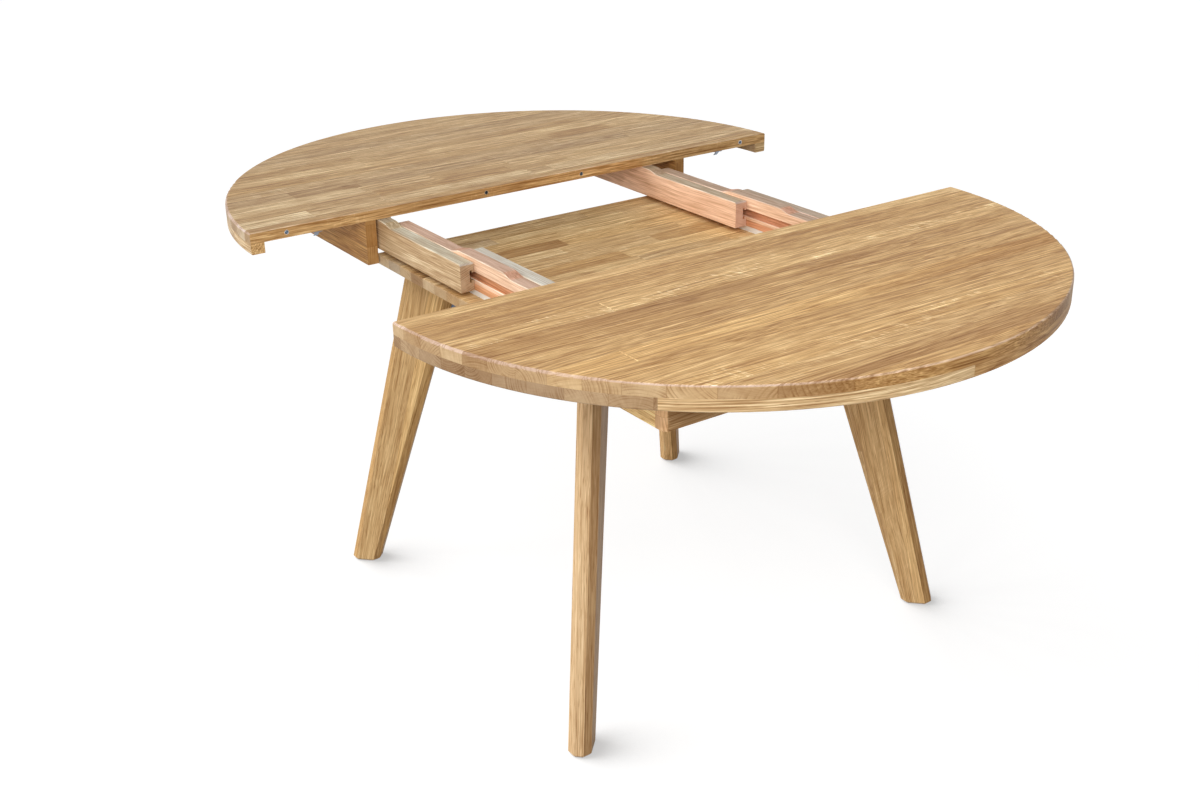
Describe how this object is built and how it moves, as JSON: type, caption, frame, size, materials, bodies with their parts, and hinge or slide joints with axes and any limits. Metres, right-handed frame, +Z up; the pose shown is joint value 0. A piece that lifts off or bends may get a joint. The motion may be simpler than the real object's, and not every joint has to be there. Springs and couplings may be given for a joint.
{
  "type": "extending dining table",
  "caption": "Round solid-wood dining table whose two half tops slide apart on telescopic wooden runners over a fixed panel with splayed legs.",
  "frame": {"origin": "on the floor, under the middle of the table as drawn open in this row", "axes": "+Z up, +X the slide direction from the far half to the near half, +Y along the straight edges"},
  "size_m": [1.7454, 1.2, 0.76],
  "materials": {
    "oak_top": "oiled solid oak, staves glued side by side",
    "oak_band": "oiled solid oak, butt-jointed arcs",
    "oak_apron": "oiled solid oak",
    "oak_leg": "oiled solid oak, laminated",
    "oak_panel": "oiled solid oak, short staves",
    "oak_runner": "oiled hardwood",
    "beech": "plain planed hardwood",
    "white_strip": "matt white strip",
    "zinc_steel": "zinc-plated steel",
    "zinc_screws": "zinc-plated steel screws",
    "bright_steel": "bright steel"
  },
  "bodies": {
    "base": {"base_panel": "oak_panel", "bracket_pins": "bright_steel", "bracket_screws": "zinc_screws", "fixed_runner_left": "beech", "fixed_runner_right": "beech", "leg_bracket_far_left": "zinc_steel", "leg_bracket_far_right": "zinc_steel", "leg_bracket_near_left": "zinc_steel", "leg_bracket_near_right": "zinc_steel", "leg_far_left": "oak_leg", "leg_far_right": "oak_leg", "leg_near_left": "oak_leg", "leg_near_right": "oak_leg", "panel_screws": "zinc_screws", "spacer_left": "white_strip", "spacer_right": "white_strip", "stop_key_far_left": "zinc_steel", "stop_key_far_right": "zinc_steel", "stop_key_near_left": "zinc_steel", "stop_key_near_right": "zinc_steel", "stop_key_screws": "zinc_screws"},
    "far_half": {"far_apron_end": "oak_apron", "far_apron_left": "oak_apron", "far_apron_right": "oak_apron", "far_board": "oak_top", "far_edge_band": "oak_band", "far_key_screws": "zinc_screws", "far_leaf_clip_left": "zinc_steel", "far_leaf_clip_right": "zinc_steel", "far_leaf_clip_screws": "zinc_screws", "far_pin_sockets": "bright_steel", "far_runner_left": "oak_runner", "far_runner_right": "beech", "far_runner_screws": "zinc_screws", "far_slide_key_left": "zinc_steel", "far_slide_key_right": "zinc_steel"},
    "near_half": {"near_apron_end": "oak_apron", "near_apron_left": "oak_apron", "near_apron_right": "oak_apron", "near_board": "oak_top", "near_dowel_pins": "bright_steel", "near_edge_band": "oak_band", "near_key_screws": "zinc_screws", "near_runner_left": "beech", "near_runner_right": "beech", "near_runner_screws": "zinc_screws", "near_slide_key_left": "zinc_steel", "near_slide_key_right": "zinc_steel"}
  },
  "joints": [
    {"name": "far_slide", "type": "slide", "parent": "base", "child": "far_half", "axis": [-1, 0, 0], "range_m": [-0.325, 0.01]},
    {"name": "near_slide", "type": "slide", "parent": "base", "child": "near_half", "axis": [1, 0, 0], "range_m": [-0.22, 0.115]}
  ]
}
